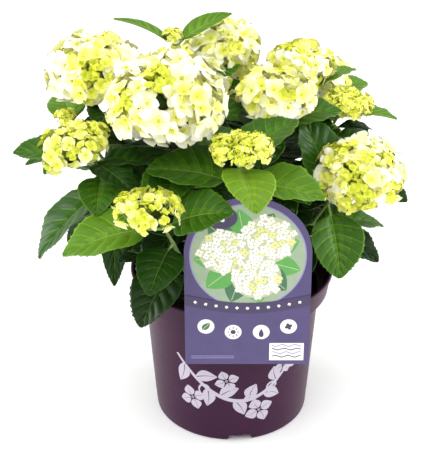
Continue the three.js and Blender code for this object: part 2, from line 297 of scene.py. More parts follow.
def raiseRings(profile, facets):
    # a disc whose rim is extruded and widened ring by ring along the profile of (radius, height)
    deselectAll()
    radius, height = profile[0]
    bpy.ops.mesh.primitive_circle_add(
        vertices=facets, radius=radius * mm, fill_type="NGON", location=(0, 0, height * mm)
    )
    bpy.ops.object.transform_apply(location=True)
    bpy.ops.object.mode_set(mode="EDIT")
    bpy.ops.mesh.select_all(action="SELECT")
    for (radius, height), (wider, higher) in zip(profile, profile[1:]):
        bpy.ops.mesh.extrude_region_move(
            TRANSFORM_OT_translate={"value": (0, 0, (higher - height) * mm)}
        )
        grow = wider / radius
        bpy.ops.transform.resize(value=(grow, grow, 1), center_override=(0, 0, 0))
    bpy.ops.mesh.select_all(action="SELECT")
    bpy.ops.mesh.normals_make_consistent(inside=False)
    bpy.ops.object.mode_set(mode="OBJECT")
    return bpy.context.object


def potProfile():
    # foot, wall with a raised bead, collar, rolled lip, then down the inside to the floor
    wall, lip, base, rim, height = (pot[key] for key in ("wall", "lip", "base", "rim", "height"))
    collar, collarZ, floorZ = pot["collarFoot"], pot["collarFootZ"], pot["floor"]
    ledge, lipZ = collarZ + wall, height - pot["lipDepth"]
    outside = [(base - 3, 0), (base - 1.3, 0.5), (base - 0.4, 1.4), (base, 3)]
    outside += [(bodyRadius(z), z) for z in (20, 60, 110, 148, 149)]
    outside += [(bodyRadius(149) + 0.5, 149.6), (bodyRadius(151.4) + 0.5, 151.4)]
    outside += [(bodyRadius(152), 152), (pot["bodyTop"] - 0.1, collarZ - 0.6)]
    outside += [(pot["bodyTop"] + 0.8, collarZ), (collar - 0.9, collarZ), (collar, collarZ + 0.9)]
    outside += [(collarRadius(168), 168), (collarRadius(lipZ) - 0.1, lipZ - 0.4)]
    edge = [(rim - 0.3, lipZ), (rim, lipZ + 0.6), (rim, height - 1.2), (rim - 0.4, height - 0.4)]
    edge += [(rim - 1.2, height), (rim - lip + 0.5, height), (rim - lip, height - 0.5)]
    inside = [(collarRadius(ledge) - wall, ledge + 0.3), (collarRadius(ledge) - wall - 0.6, ledge)]
    inside += [(bodyRadius(ledge) - wall, ledge), (bodyRadius(ledge) - wall - 0.2, ledge - 1)]
    inside += [(bodyRadius(80) - wall, 80), (bodyRadius(floorZ + 1.5) - wall, floorZ + 1.5)]
    return outside + edge + inside + [(bodyRadius(floorZ) - wall - 1.5, floorZ)]


def channelCutters(angle):
    # a wedge-shaped bar and a round hole that leave a drain channel in the foot
    inner, width, height = pot["channelInner"], pot["channelWidth"], pot["channelHeight"]
    length = pot["base"] + 10 - inner
    deselectAll()
    bpy.ops.mesh.primitive_cube_add(
        size=1, location=((inner + length / 2) * mm, 0, (height - 1) / 2 * mm),
        scale=(length * mm, width * mm, (height + 1) * mm),
    )
    bar = settle(bpy.context.object, "bar")
    for corner in bar.data.vertices:
        corner.co.y *= 1 - pot["channelTaper"] / width if corner.co.z > 0 else 1
    bpy.ops.mesh.primitive_cylinder_add(
        vertices=24, radius=pot["drainHole"] * mm, depth=3 * pot["floor"] * mm,
        location=((inner + pot["base"]) / 2 * mm, 0, 0),
    )
    hole = settle(bpy.context.object, "hole")
    for cutter in (bar, hole):
        cutter.data.transform(Matrix.Rotation(radians(angle), 4, "Z"))
    return [bar, hole]


def makePot():
    shell = raiseRings(potProfile(), pot["facets"])
    cutters = []
    for i in range(pot["channels"]):
        cutters += channelCutters(pot["frontChannel"] + 360 / pot["channels"] * i)
    for cutter in cutters:
        cut = shell.modifiers.new("cut", "BOOLEAN")
        cut.object = cutter
        cut.operation = "DIFFERENCE"
        cut.solver = "EXACT"
    pick(shell)
    for modifier in list(shell.modifiers):
        bpy.ops.object.modifier_apply(modifier=modifier.name)
    for cutter in cutters:
        bpy.data.objects.remove(cutter)
    pick(shell)
    bpy.ops.object.shade_smooth_by_angle(angle=radians(pot["smoothUnder"]))
    return settle(shell, "pot_shell")


def mouldedPolypropylene():
    # Polypropylene, injection moulded and evenly coloured: a soft satin gloss over a very fine
    # spark-eroded grain, with faint scuffs where pots have rubbed in the stack.
    material = newFinish("mouldedPolypropylene", "#41203c", 0.4, ior=1.49, specular=0.2)
    mottle(material, noiseOn(material, 14, 4), "#2f082a", "#381030")
    # scuffs run round the pot: noise stretched sideways, 3 mm tall
    scuff = noiseOn(material, 1, 5, stretch=(24, 24, 330))
    gloss = {"From Min": 0.35, "From Max": 0.75, "To Min": 0.38, "To Max": 0.46}
    sheen = addNode(material, "MapRange", gloss, {"Value": scuff})
    intoSurface(material, sheen.outputs["Result"], "Roughness")
    # grain of about 1.2 mm, drawn coarser than the real 0.3 mm so that it shows
    emboss(material, noiseOn(material, 800, 2, roughness=0.6), 0.12, 0.0003)
    return material


dress(makePot(), [mouldedPolypropylene()], ["pot"])

# planting mix, in mm
mix = {
    "facets": 64, "top": 146, "gap": 0.3, "roughness": 2.4, "chips": 900, "chipsOffWall": 5,
    "rings": (0.985, 0.93, 0.86, 0.78, 0.7, 0.62, 0.54, 0.46, 0.38, 0.3, 0.22, 0.15, 0.08),
}


def barkCompost():
    # Peat-free compost of composted bark: matt, damp and nearly black, with paler fibres.
    material = newFinish("barkCompost", "#2a1f17", 0.95)
    crumb = noiseOn(material, 420, 6)
    streak(material, crumb, ("#17100b", 0.35), ("#4a382a", 0.72))
    emboss(material, crumb, 0.6, 0.0012)
    return material


def mixRadius(z):
    return bodyRadius(z) - pot["wall"] - mix["gap"] - 0.1


def makeMix():
    bottom, top = pot["floor"] + mix["gap"], mix["top"]
    profile = [(mixRadius(bottom), bottom), (mixRadius(top - 2), top - 2)]
    profile += [(mixRadius(top) * share, top) for share in mix["rings"]]
    body = raiseRings(profile, mix["facets"])
    dice = diceOf(4242)
    for vertex in body.data.vertices:
        if vertex.co.z > (top - 1) * mm:
            vertex.co.z -= dice() * mix["roughness"] * mm
    pick(body)
    bpy.ops.object.shade_smooth()
    return settle(body, "planting_mix")


dress(makeMix(), [barkCompost()], ["soil"])

# eight faces round six corners: a chip of bark, or a bead in a flower
beadFaces = [(0, 1, 2), (0, 2, 3), (0, 3, 4), (0, 4, 1), (5, 2, 1), (5, 3, 2), (5, 4, 3), (5, 1, 4)]


def makeChips():
    batch = newBatch()
    dice = diceOf(771)
    limit = bodyRadius(mix["top"]) - pot["wall"] - mix["chipsOffWall"]
    for _ in range(mix["chips"]):
        radius = limit * sqrt(dice())
        around = dice() * 2 * pi
        long, wide, thick = 2 + 4.5 * dice() ** 2, 1 + 1.4 * dice(), 0.5 + 0.7 * dice()
        turn = dice() * pi
        lean = (dice() - 0.5) * 0.7
        shape = np.array([(0, 0, thick), (long, 0, 0), (0, wide, 0.1), (-long, 0.2, 0),
                          (0, -wide, 0), (0, 0, -thick)])
        at = (radius * cos(around), radius * sin(around), mix["top"] - 0.6 - 0.8 * dice())
        places = shape @ leanAside(lean).T @ turnUpright(turn).T + at
        addMesh(batch, places, beadFaces, 0 if dice() < 0.7 else 1)
    return batch


chipFinishes = [newFinish("dampBark", "#33241a", 0.85), newFinish("paleBark", "#5d4732", 0.85)]
joinedPiece(makeChips(), "bark_chips", chipFinishes, [], smooth=False)
print("pot and planting mix ready")

# bed card, in mm; ink is the step between two printed layers
card = {"centreX": 15.5, "face": -116.5, "ink": 0.02, "offFace": 0.04}


def printedPolystyrene():
    # Polystyrene sheet, offset printed and varnished: a smooth, fairly glossy face whose ink has
    # a faint mottle.
    material = newFinish("printedPolystyrene", "#54458a", 0.32, ior=1.59)
    mottle(material, noiseOn(material, 60, 5), "#3e3163", "#4c3e75")
    emboss(material, noiseOn(material, 9, 1), 0.25, 0.002)
    return material


cardFinish = printedPolystyrene()
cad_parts["bed_card"].data.materials.clear()
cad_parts["bed_card"].data.materials.append(cardFinish)

# two tones of each ink
inkTones = {
    "cream": ("#e9e6d2", "#f3f1e4"), "white": ("#fbfaf5", "#f1efe8"),
    "lemon": ("#d9d98a", "#e6e6a2"), "leaf": ("#4f9a44", "#64ad52"),
    "deepGreen": ("#37664a", "#457a55"), "deepViolet": ("#3a2f52", "#44385e"),
    "lilac": ("#8d82b8", "#9a90c2"), "shade": ("#b9bd95", "#c6caa4"),
    "mist": ("#8fa58a", "#a3b597"),
}
inkNumber = {name: number for number, name in enumerate(inkTones)}
cardPrint = newBatch()


def offsetInk(name):
    # Offset ink under varnish, with a fine mottle.
    material = newFinish(name + "Ink", inkTones[name][0], 0.34, ior=1.5)
    mottle(material, noiseOn(material, 160, 4), *inkTones[name])
    return material


def turned(x, z, along, across, turn):
    # a point of a flat drawing that stands at (x, z) and is turned about it
    c, s = cos(turn), sin(turn)
    return (x + along * c - across * s, z + along * s + across * c)


def printFaces(points, faces, finish, layer):
    y = card["face"] - card["offFace"] - card["ink"] * layer
    addMesh(cardPrint, [(x, y, z) for x, z in points], faces, inkNumber[finish])


def printShape(points, finish, layer):
    # a flat patch of ink; points run anticlockwise as seen from the front
    printFaces(points, [tuple(range(len(points)))], finish, layer)


def printOval(x, z, across, up, count, finish, layer, turn=0):
    angles = [2 * pi * i / count for i in range(count)]
    points = [turned(x, z, across * cos(a), up * sin(a), turn) for a in angles]
    printShape(points, finish, layer)


def printStrip(lower, upper, finish, layer):
    # a band between two lines of points that both run to the right
    n = len(lower)
    faces = [(i, i + 1, n + i + 1, n + i) for i in range(n - 1)]
    printFaces(lower + upper, faces, finish, layer)


def printLeaf(x, z, length, width, turn, finish, layer):
    # a pointed leaf with a pale midrib
    halves = [width / 2 * sin(pi * (i / 12) ** 0.8) ** 0.8 if 0 < i < 12 else 0.05
              for i in range(13)]
    edges = [[turned(x, z, length * (i / 12), side * half, turn) for i, half in enumerate(halves)]
             for side in (-1, 1)]
    printStrip(*edges, finish, layer)
    rib = [[turned(x, z, length * t, side, turn) for t in (0.04, 0.5, 0.94)]
           for side in (-0.35, 0.35)]
    printStrip(*rib, "shade", layer + 0.3)


def printBlossom(x, z, size, turn, finish, layer):
    # four oval petals
    reach = size * 0.42
    for k in range(4):
        a = turn + k * pi / 2
        at = turned(x, z, reach, 0, a)
        printOval(*at, reach, size * 0.36, 12, finish, layer + 0.03 * k, a)


def printHead(x, z, radius, seed, layer):
    # a round head of small four-petalled flowers, each over a greener shadow of itself
    dice = diceOf(seed)
    printOval(x, z, radius * 0.97, radius * 0.95, 32, "shade", layer)
    count = int(radius * 1.55)
    for i in range(count):
        reach = radius * 0.93 * sqrt((i + 0.5) / count)
        u, v = turned(x, z, reach, 0, radians(goldenAngle * i))
        u, v = u + 2.4 * (dice() - 0.5), v + 2.4 * (dice() - 0.5)
        finish = ("white", "cream", "white", "lemon")[int(dice() * 4)]
        size, turn = 4.6 + 1.6 * dice(), dice() * 3
        level = layer + 0.5 + (i * 7 % 9) * 0.42
        printBlossom(u + 0.7, v - 0.8, size * 1.04, turn, "shade", level)
        printBlossom(u, v, size, turn, finish, level + 0.12)
        printOval(u, v, 0.7, 0.7, 6, "leaf", level + 0.26)


# bearing, distance from the middle, length, width and ink of the leaves in the oval panel
panelLeaves = [
    (0.35, 22, 34, 26, "leaf"), (1.1, 24, 33, 24, "deepGreen"), (1.75, 26, 30, 24, "leaf"),
    (2.4, 22, 34, 26, "deepGreen"), (3.2, 24, 33, 24, "leaf"), (3.85, 22, 35, 28, "leaf"),
    (4.4, 22, 35, 26, "deepGreen"), (4.95, 20, 37, 30, "leaf"), (5.5, 22, 35, 28, "deepGreen"),
    (6.0, 24, 33, 24, "leaf"),
]
ribbon = {"width": 132.4, "half": 6.5, "height": 205, "sag": 10}


def ribbonAt(t):
    # the ribbon's middle line, which sags from edge to edge
    x = card["centreX"] + (t - 0.5) * ribbon["width"]
    return x, ribbon["height"] - ribbon["sag"] * sin(pi * t)


def printSymbols(x0):
    # a leaf, a sun, a drop and a flower, each on a white disc
    discs = [(x0 + x, z) for x, z in ((-44, 172), (-15, 165), (15, 165), (44, 172))]
    for disc in discs:
        printOval(*disc, 9, 9, 36, "white", 1)
    printLeaf(discs[0][0] - 4, discs[0][1] - 4, 12, 7, radians(45), "deepGreen", 2)
    printOval(*discs[1], 2.8, 2.8, 20, "deepViolet", 2)
    for k in range(8):
        printOval(*turned(*discs[1], 5.2, 0, k * pi / 4), 1.5, 0.6, 8, "deepViolet", 2, k * pi / 4)
    x, z = discs[2]
    drop = [(x + 3.6 * sin(a) * sin(a / 2) ** 1.2, z - 1 + 5.4 * cos(a))
            for a in [2 * pi * (k + 0.5) / 24 for k in range(24)]]
    printShape(drop[::-1], "deepViolet", 2)
    printBlossom(*discs[3], 5, 0.4, "deepViolet", 2)


def printPanel(x0):
    # a pale panel with four waves, and two thin lines at its left
    corners = ((24, 129), (61, 129), (61, 151), (24, 151))
    printShape([(x0 + x, z) for x, z in corners], "white", 1)
    for k in range(4):
        wave = [(x0 + 27 + 31 * i / 30, 133.5 + 4.6 * k + 1.1 * sin(14 * i / 30 + k))
                for i in range(31)]
        printStrip(wave, [(x, z + 1.3) for x, z in wave], ("deepViolet", "lilac")[k % 2], 2)
    for z in (134, 131.6):
        line = [[(x0 - 60, z + up), (x0 - 14, z + up)] for up in (0, 0.8)]
        printStrip(*line, "lilac", 1)


def drawCard(x0, z0):
    # three flower heads among leaves in an oval, a curved ribbon with a row of small flowers, a
    # crest, four symbols and a panel
    printOval(x0, z0, 61, 62, 72, "lilac", 0)
    printOval(x0, z0, 59.6, 60.6, 72, "mist", 1)
    for i, (turn, reach, length, width, finish) in enumerate(panelLeaves):
        foot = turned(x0, z0, reach, 0, turn)
        printLeaf(*foot, length, width, turn, finish, 2 + 0.8 * (i % 3))
    printHead(x0 + 20, z0 + 20, 29, 9091, 5)
    printHead(x0 - 25, z0 + 6, 27, 9133, 10)
    printHead(x0 + 9, z0 - 24, 27, 9241, 15)
    middle = [ribbonAt(i / 40) for i in range(41)]
    edges = [[(x, z + side * ribbon["half"]) for x, z in middle] for side in (-1, 1)]
    printStrip(*edges, "deepViolet", 21)
    for i in range(11):
        printBlossom(*ribbonAt((i + 1) / 12), 2.3, 0.4 * i, "white", 22)
    printOval(x0 - 28, z0 + 46, 17, 13, 36, "deepViolet", 21)
    printBlossom(x0 - 28, z0 + 46, 6.5, 0.5, "white", 22)
    printSymbols(x0)
    printPanel(x0)


drawCard(card["centreX"], 257)
inks = [offsetInk(name) for name in inkTones]
joinedPiece(cardPrint, "card_print", inks, [], smooth=False)
potPrint = newBatch()


def wrapPoint(arc, z):
    # a point of the flat drawing, arc mm to the right of the pot's front, laid on its wall
    radius = bodyRadius(z) + 0.12
    angle = -pi / 2 + arc / bodyRadius(z)
    return (radius * cos(angle), radius * sin(angle), z)


def wrapStroke(line, width):
    # a pale line of tapering width along points of (arc, z)
    left, right = [], []
    last = len(line) - 1
    for i, (x, z) in enumerate(line):
        a, b = line[max(i - 1, 0)], line[min(i + 1, last)]
        dx, dz = b[0] - a[0], b[1] - a[1]
        size = hypot(dx, dz) or 1
        half = width / 2 * (0.35 + 0.65 * sin(pi * (0.08 + 0.84 * i / last)))
        left.append(wrapPoint(x - dz / size * half, z + dx / size * half))
        right.append(wrapPoint(x + dz / size * half, z - dx / size * half))
    faces = [(last + 1 + i, last + 2 + i, i + 1, i) for i in range(last)]
    addMesh(potPrint, left + right, faces, 0)


def wrapLeaf(x, z, length, width, turn, gap=0.55):
    # two halves with a bare line between them for the midrib
    least = gap + 0.05
    for side in (-1, 1):
        lines = [[], []]
        for i in range(9):
            t = i / 8
            full = max(width / 2 * sin(pi * t**0.85) ** 0.9, least) if 0 < i < 8 else least
            bow = 0.08 * length * sin(pi * t)
            for line, half in zip(lines, (full, gap * (1 - 0.8 * t))):
                line.append(wrapPoint(*turned(x, z, length * t, bow + side * half, turn)))
        lower, upper = lines[::-side]
        addMesh(potPrint, lower + upper, [(i, i + 1, 10 + i, 9 + i) for i in range(8)], 0)


def drawSprig():
    # one long wavy stem with leaves, four open flowers and three tendrils
    steps = [i / 60 for i in range(61)]
    stem = [(-66 + 142 * t, 112 - 62 * sin(2.5 * t) + 44 * t * t - 12 * t) for t in steps]
    wrapStroke(stem, 5)
    for i, at in enumerate((4, 10, 16, 22, 29, 36, 43, 50, 56)):
        (x, z), ahead = stem[at], stem[at + 2]
        turn = atan2(ahead[1] - z, ahead[0] - x) + (0.95 if i % 2 else -0.95)
        wrapLeaf(x, z, 27 - i * 0.9, 15.5, turn)
    for x, z, size in ((-46, 56, 16), (-6, 86, 14), (31, 42, 17), (62, 98, 14)):
        for k in range(4):
            a = 0.4 + k * pi / 2
            wrapLeaf(*turned(x, z, 2.6, 0, a), size - 2, size * 0.84, a, 0.3)
        wrapStroke([turned(x, z, 1.2, 0, 2 * pi * i / 12) for i in range(13)], 1)
    for x, z, curl in ((-30, 66, 1), (18, 52, -1), (48, 66, 1)):
        spiral = [(6.2 * t, 1 + 9 * t) for t in [i / 24 for i in range(25)]]
        wrapStroke([(x + curl * r * sin(a), z + 6 - r * cos(a)) for a, r in spiral], 2.6)


drawSprig()
potInk = newFinish("lilacPotInk", "#b9b0c0", 0.45)
joinedPiece(potPrint, "pot_print", [potInk], [], smooth=False)
print("card and prints ready")

# the plant's rule, as in the part's source, in mm and degrees
growth = {
    "soilTop": 146, "clearGap": 0.3, "caneFoot": 4, "caneTip": 2.8, "stemTip": 1.75,
    "bendAcross": 0.42, "bendUp": 0.62, "pairs": 3, "longPairs": 4, "longShoot": 255,
    "pairSpacing": 32, "stemBelow": 12,
}
leafRule = {"widthShare": 0.66, "bend": 34, "fold": 13, "petiole": 0.15, "petioleRadius": 1.5}
nudgeSwings = [0, 8, -8, 16, -16, 26, -26, 36, -36]
nudgeTilts = [0, -7, 7, -15, 15, -25]
nudgeShares = [1, 0.9, 0.78, 0.66]

shootColumns = ("name", "foot", "head", "size", "drop", "turn", "leaf", "bloom")
# A leaf's key is its pair and side. set: its bearing, pitch and length, as in the source. looks:
# its tint, or that and the factors of its width and length. lifts: pitch, bearing and roll added
# to it. more: drop, bearing, pitch, length and tint of one that the solids don't have. patches:
# across, up, radius and ripeness of a group of florets. hole: across, up and radius of a gap.
# fit: the head's shift and scale. tip: bearing and angle of its lean. skirt: its depth.
shootTraits = {"set": {}, "looks": {}, "lifts": {}, "more": [], "patches": [], "hole": None,
               "ripe": 0.5, "fit": (0, 0, 0, 1), "tip": None, "skirt": None}
# the tints in looks are partly painted shade: leaves that lie in shade in the crown are given
# darker tints
shootRows = [
    ("front_left_high", (-24, -22), (-66, -70, 416), (128, 88), 54, 160, 92, "open", {
        "set": {"1b": (247, -10, 84)}, "ripe": 1.0, "hole": (-5, -12, 8),
        "patches": [(-8, 13, 20, 0.05), (-36, -12, 18, 0.08), (24, -12, 10, 0.2), (27, 6, 7, 0.2),
                    (-38, 26, 18, 1.0), (-6, 42, 14, 1.0), (14, 30, 12, 0.9)]}),
    ("left_high", (-46, 6), (-150, 35, 403), (104, 82), 44, 260, 84, "open", {
        "set": {"0a": (259, 0, 64)}, "more": [(84, 292, -20, 84, 4)], "ripe": 0.95,
        "looks": {"0a": 4, "1b": (4, 1, 0.58)},
        "patches": [(2, -4, 20, 0.1), (12, 26, 20, 0.5), (-20, 6, 7, 0.2), (-40, 6, 18, 1.0),
                    (-26, -26, 18, 1.0)]}),
    ("back_high", (-6, 30), (-14, 100, 407), (94, 66), 16, 274, 84, "half", {
        "set": {"0a": (274, 0, 58)}, "ripe": 0.82, "fit": (2, 0, -2, 0.96),
        "patches": [(10, -2, 13, 0.2), (-14, 22, 12, 0.4)]}),
    ("right_high", (14, -2), (47, -2, 389), (96, 58), 36, 190, 80, "open", {
        "set": {"0a": (190, 32, 52), "1b": (30, 10, 80)}, "skirt": 96, "ripe": 0.66,
        "looks": {"0a": 3, "1b": 4}, "fit": (-1, 0, 4, 0.93),
        "patches": [(-9, 8, 11, 0.05), (14, -5, 12, 0.12), (-30, 14, 10, 0.25), (8, 22, 10, 0.4)]}),
    ("back_right_high", (28, 28), (88, 90, 390), (84, 56), 34, 40, 80, "half", {
        "patches": [(-14, 17, 14, 0.15), (14, 6, 8, 0.3)], "ripe": 0.66, "skirt": 98,
        "fit": (-10, 0, -2, 0.94)}),
    ("right_low", (42, -12), (135, -30, 313), (106, 86), 52, 286, 84, "half", {
        "set": {"0a": (286, -56, 84), "1a": (20, -12, 92), "1b": (240, 2, 60)},
        "looks": {"0a": (2, 1.12, 1), "1a": 2, "2b": (5, 1, 0.5)},
        "more": [(48, 136, 62, 100, 3)], "ripe": 0.7, "fit": (2, 0, -4, 0.96),
        "patches": [(-25, 28, 13, 0.2), (-11, 1, 17, 0.12), (-4, -24, 19, 0.1), (7, 16, 10, 0.3),
                    (40, 6, 18, 1.0), (12, 37, 16, 1.0)]}),
    ("front_bud", (4, -40), (6, -115, 379), (72, 26), 24, 282, 84, "bud", {
        "set": {"0a": (282, -13, 80), "0b": (60, 18, 84), "1a": (343, -2, 92), "1b": (158, 0, 98)},
        "looks": {"0a": 0, "0b": (2, 1.08, 1), "1a": (1, 1.1, 1), "1b": (2, 1.12, 1)},
        "lifts": {"0b": (16, -20, 0)}}),
    ("left_bud", (-52, -22), (-164, -60, 356), (78, 44), 30, 184, 88, "opening", {
        "set": {"0a": (184, 11, 86), "0b": (10, -5, 72), "1a": (208, -38, 112),
                "1b": (276, -18, 76)},
        "looks": {"0a": 2, "0b": 3, "1a": 3, "1b": 2},
        "more": [(44, 268, -20, 62, 2), (24, 316, -12, 64, 4)], "tip": (180, 14),
        "patches": [(-30, -8, 14, 1.0), (-14, -22, 10, 0.85), (20, 16, 14, 0.4), (2, -8, 10, 0.2)],
        "fit": (0, 0, 1, 1.07)}),
    ("front_left_bud", (-34, -52), (-83, -150, 329), (74, 38), 44, 190, 92, "opening", {
        "set": {"0a": (190, -12, 108), "0b": (342, 22, 92), "1a": (250, -22, 72),
                "2a": (235, -34, 88)},
        "looks": {"0a": 1, "0b": (2, 1.05, 0.89), "1a": 4, "1b": 4,
                  "2a": 5, "2b": (5, 1, 0.72)},
        "lifts": {"0b": (0, -2, 26)}, "hole": (7, -5, 4.5),
        "patches": [(30, -7, 10, 1.0), (-6, -20, 8, 0.7)]}),
    ("right_bud", (48, 22), (128, 60, 359), (66, 36), 22, 350, 72, "bud", {
        "set": {"0a": (350, 2, 68), "1a": (269, 13, 60), "1b": (352, -12, 84)},
        "looks": {"0a": 1, "1b": 2}, "more": [(30, 222, -4, 72, 3)],
        "fit": (-2, 0, -8, 1.06)}),
    ("left_small_bud", (-60, 14), (-184, 42, 346), (28, 15), 14, 120, 66, "bud", {
        "more": [(96, 260, -67, 120, 4)], "looks": {"more0": (4, 0.42, 1)}}),
    ("crown_bud", (-22, 16), (-65, 60, 434), (26, 15), 12, 165, 76, "bud", {
        "set": {"0a": (165, 20, 76), "0b": (25, 22, 80), "1a": (250, 10, 52)},
        "looks": {"0a": (1, 0.56, 1), "0b": (1, 0.58, 0.94)}}),
    ("back_left", (-34, 44), (-132, 152, 345), (92, 60), 36, 130, 90, "half", {}),
    ("back_low", (2, 58), (6, 182, 322), (96, 66), 38, 80, 92, "open", {}),
    ("back_right", (36, 52), (100, 166, 345), (88, 58), 36, 40, 90, "half", {}),
    ("left_back_low", (-58, 32), (-176, 112, 277), (70, 38), 26, 200, 86, "opening", {
        "tip": (150, 30)}),
    ("right_back_low", (60, 34), (150, 105, 247), (72, 40), 26, 340, 86, "opening", {
        "tip": (30, 30)}),
]
shoots = [shootTraits | dict(zip(shootColumns, row)) | row[-1] for row in shootRows]
firstBackHead = 55


class Curve:
    # a quadratic curve measured along its length in 200 steps, as the source's curves are
    steps = np.linspace(0, 1, 201)

    def __init__(self, foot, bend, head):
        self.points = (foot, bend, head)
        places = np.array([self.at(t) for t in self.steps])
        walked = np.linalg.norm(np.diff(places, axis=0), axis=1)
        self.lengths = np.concatenate([[0], np.cumsum(walked)])
        self.length = self.lengths[-1]

    def at(self, t):
        a, b, c = self.points
        return (1 - t) ** 2 * a + 2 * (1 - t) * t * b + t * t * c

    def shareToT(self, share):
        return float(np.interp(share * self.length, self.lengths, self.steps))

    def pointAt(self, share):
        return self.at(self.shareToT(share))

    def below(self, drop):
        # the point that many mm under the head
        return self.pointAt(1 - drop / self.length)

    def headingAt(self, share):
        t = self.shareToT(share)
        a, b, c = self.points
        return unit(2 * (1 - t) * (b - a) + 2 * t * (c - b))


def shootCurve(shoot):
    foot = np.array([*shoot["foot"], growth["soilTop"] + growth["clearGap"]], float)
    head = np.array(shoot["head"], float)
    across, up = growth["bendAcross"], growth["bendUp"]
    return Curve(foot, foot + (head - foot) * np.array([across, across, up]), head)


def leavesOf(shoot, length, seed):
    dice = diceOf(seed)
    outward = atan2(shoot["head"][1], shoot["head"][0])
    leaves = []
    for pair in range(growth["longPairs"] if length > growth["longShoot"] else growth["pairs"]):
        for side in (0, 1):
            key = str(pair) + "ab"[side]
            swing, tilt, stretch, twist = [dice() * 2 - 1 for _ in range(4)]
            turn = shoot["turn"] + 90 * pair + 180 * side + swing * 9
            outer = (1 + cos(radians(turn) - outward)) / 2
            reach = shoot["leaf"] * (0.72 + 0.3 * outer + 0.06 * pair + stretch * 0.05)
            bearing, pitch, reach = shoot["set"].get(key, (turn, 6 - 14 * pair + tilt * 7, reach))
            leaves.append({"key": key, "drop": shoot["drop"] + growth["pairSpacing"] * pair,
                           "bearing": bearing, "pitch": pitch, "length": reach, "roll": twist * 10})
    return leaves


def oval(share):
    return share**0.62 * (1 - share) ** 0.93


def leafHalfWidth(share, length):
    blade = np.clip((share - leafRule["petiole"]) / (1 - leafRule["petiole"]), 0, 1)
    return leafRule["petioleRadius"] + length * leafRule["widthShare"] / 2 * oval(blade) / oval(0.4)


def leafSurface(root, leaf, share, lateral, above):
    # share along the leaf, lateral mm across it (plus is left), above mm over its surface
    bend, fold = radians(leafRule["bend"]), radians(leafRule["fold"])
    bearing, length = radians(leaf["bearing"]), leaf["length"]
    first = radians(leaf["pitch"]) + bend / 2
    isBlade = share > leafRule["petiole"]
    twist = np.where(isBlade, radians(leaf["roll"]) * np.sign(lateral), 0)
    rise = np.where(isBlade, fold, 0) + twist
    angle = first - bend * share
    run = length * (sin(first) - np.sin(angle)) / bend
    up = length * (np.cos(angle) - cos(first)) / bend
    lift = np.abs(lateral) * np.sin(rise) + above
    ahead = run - lift * np.sin(angle)
    beside = lateral * np.cos(rise)
    out = np.array([cos(bearing), sin(bearing), 0])
    side = np.array([-out[1], out[0], 0])
    places = root + ahead[:, None] * out + beside[:, None] * side
    places[:, 2] += up + lift * np.cos(angle)
    return places


nudges = sorted(
    [(swing, tilt, share) for swing in nudgeSwings for tilt in nudgeTilts for share in nudgeShares],
    key=lambda n: abs(n[0]) + abs(n[1]) + 120 * (1 - n[2]),
)


def nudged(leaf, swing, tilt, share):
    return leaf | {"bearing": leaf["bearing"] + swing, "pitch": leaf["pitch"] + tilt,
                   "length": leaf["length"] * share}


def treeOf(points):
    tree = KDTree(len(points))
    for i, point in enumerate(points):
        tree.insert(Vector(point), i)
    tree.balance()
    return tree


def asGrown(root, leaf, tree):
    # the turn that the source gave this leaf: its tip is then a corner of the shoot's solid
    best = None
    for nudge in nudges:
        tried = nudged(leaf, *nudge)
        tip = leafSurface(root, tried, np.ones(1), np.zeros(1), np.zeros(1))[0]
        gap = tree.find(Vector(tip * mm))[2] / mm
        if best is None or gap < best[0] - 1e-6:
            best = (gap, tried)
    return best[1] if best[0] < 0.3 else None


for index, shoot in enumerate(shoots):
    curve = shootCurve(shoot)
    leaves = leavesOf(shoot, curve.length, 101 + 37 * index)
    tree = treeOf([v.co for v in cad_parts["foliage_" + shoot["name"]].data.vertices])
    placed = []
    for leaf in leaves:
        root = curve.below(leaf["drop"])
        found = asGrown(root, leaf, tree)
        if found:
            turnedOn = shoot["lifts"].get(leaf["key"], (0, 0, 0))
            for name, more in zip(("pitch", "bearing", "roll"), turnedOn):
                found[name] += more
            placed.append(found | {"root": root})
    for number, (drop, bearing, pitch, reach, tint) in enumerate(shoot["more"]):
        placed.append({"key": "more" + str(number), "root": curve.below(drop), "bearing": bearing,
                       "pitch": pitch, "length": reach, "roll": 0, "tint": tint})
    print("shoot", shoot["name"], len(placed), "of", len(leaves), "leaves")
    caneEnd = 1 - (leaves[-1]["drop"] + growth["stemBelow"]) / curve.length
    shoot |= {"curve": curve, "leaves": placed, "caneEnd": caneEnd}
    shoot["view"] = "front" if shoot["head"][1] < firstBackHead else "back"

# leaf blades, in mm for a leaf of the length drawnFor
blade = {
    "veins": 7, "rows": (-0.045, 0.045, 0.26, 0.5, 0.74), "columns": (0.3, 0.6, 0.84, 0.955, 1.0),
    "drawnFor": 90, "midrib": 0.8, "quilt": 2.0, "furrow": 1.1, "tooth": 0.75, "toothAhead": 0.012,
    "thickness": 0.5, "undulation": 1.1, "toothRows": (0.045, 0.05, 0.5), "slimUnder": 0.7,
    "calm": 0.15,
}
# a plainer blade for the leaves inside the crown
innerBlade = {"veins": 5, "rows": (-0.05, 0.05, 0.5), "columns": (0.45, 0.955, 1.0)}


